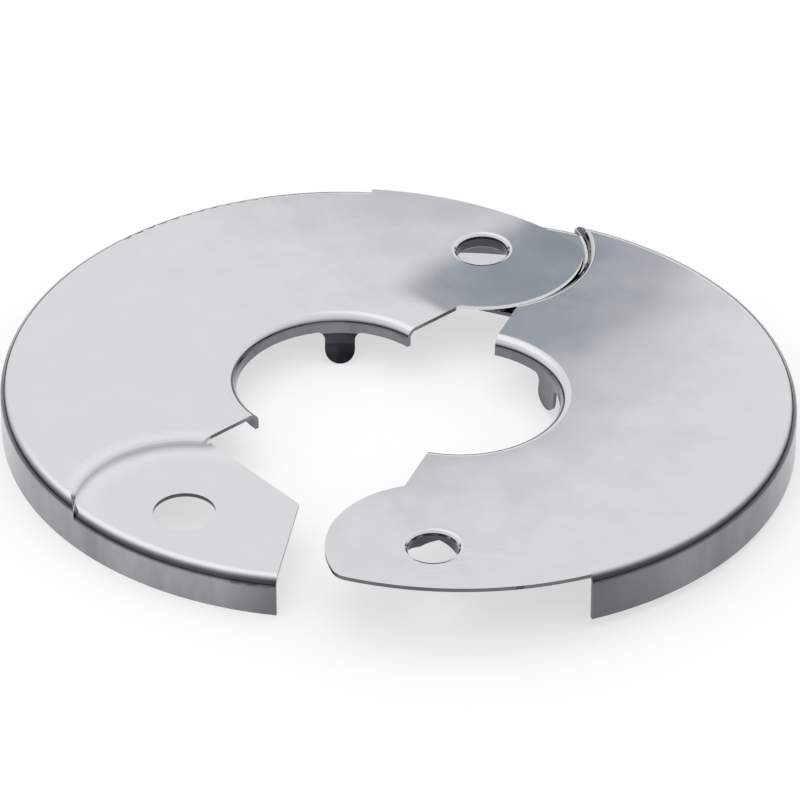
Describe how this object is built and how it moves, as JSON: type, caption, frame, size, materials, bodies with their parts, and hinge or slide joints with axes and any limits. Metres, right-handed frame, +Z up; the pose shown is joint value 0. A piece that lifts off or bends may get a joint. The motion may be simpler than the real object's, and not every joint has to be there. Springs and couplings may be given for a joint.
{
  "type": "hinged floor and ceiling plate",
  "caption": "Split pipe cover plate of pressed chrome-plated sheet: lapped halves swing on a clinched collar, snap shut round a pipe and grip it with spring fingers.",
  "frame": {"origin": "on the left half's bore axis, in the plane of its skirt's lower edge, which lies on the floor", "axes": "+Z up along the bore axis, away from the floor; +Y along the left half's split line towards the hinge; +X from the left half towards the right half"},
  "size_m": [0.0851, 0.0798, 0.0071],
  "materials": {
    "chrome_plate": "bright chrome plate on pressed steel sheet"
  },
  "bodies": {
    "left_half": {"left_half_plate": "chrome_plate"},
    "right_half": {"right_half_plate": "chrome_plate"}
  },
  "joints": [
    {"name": "plate_hinge", "type": "hinge", "parent": "left_half", "child": "right_half", "pos_m": [-0.00768, 0.0277, 0.0047], "axis": [0, 0, 1], "range_deg": [-28, 87]}
  ]
}
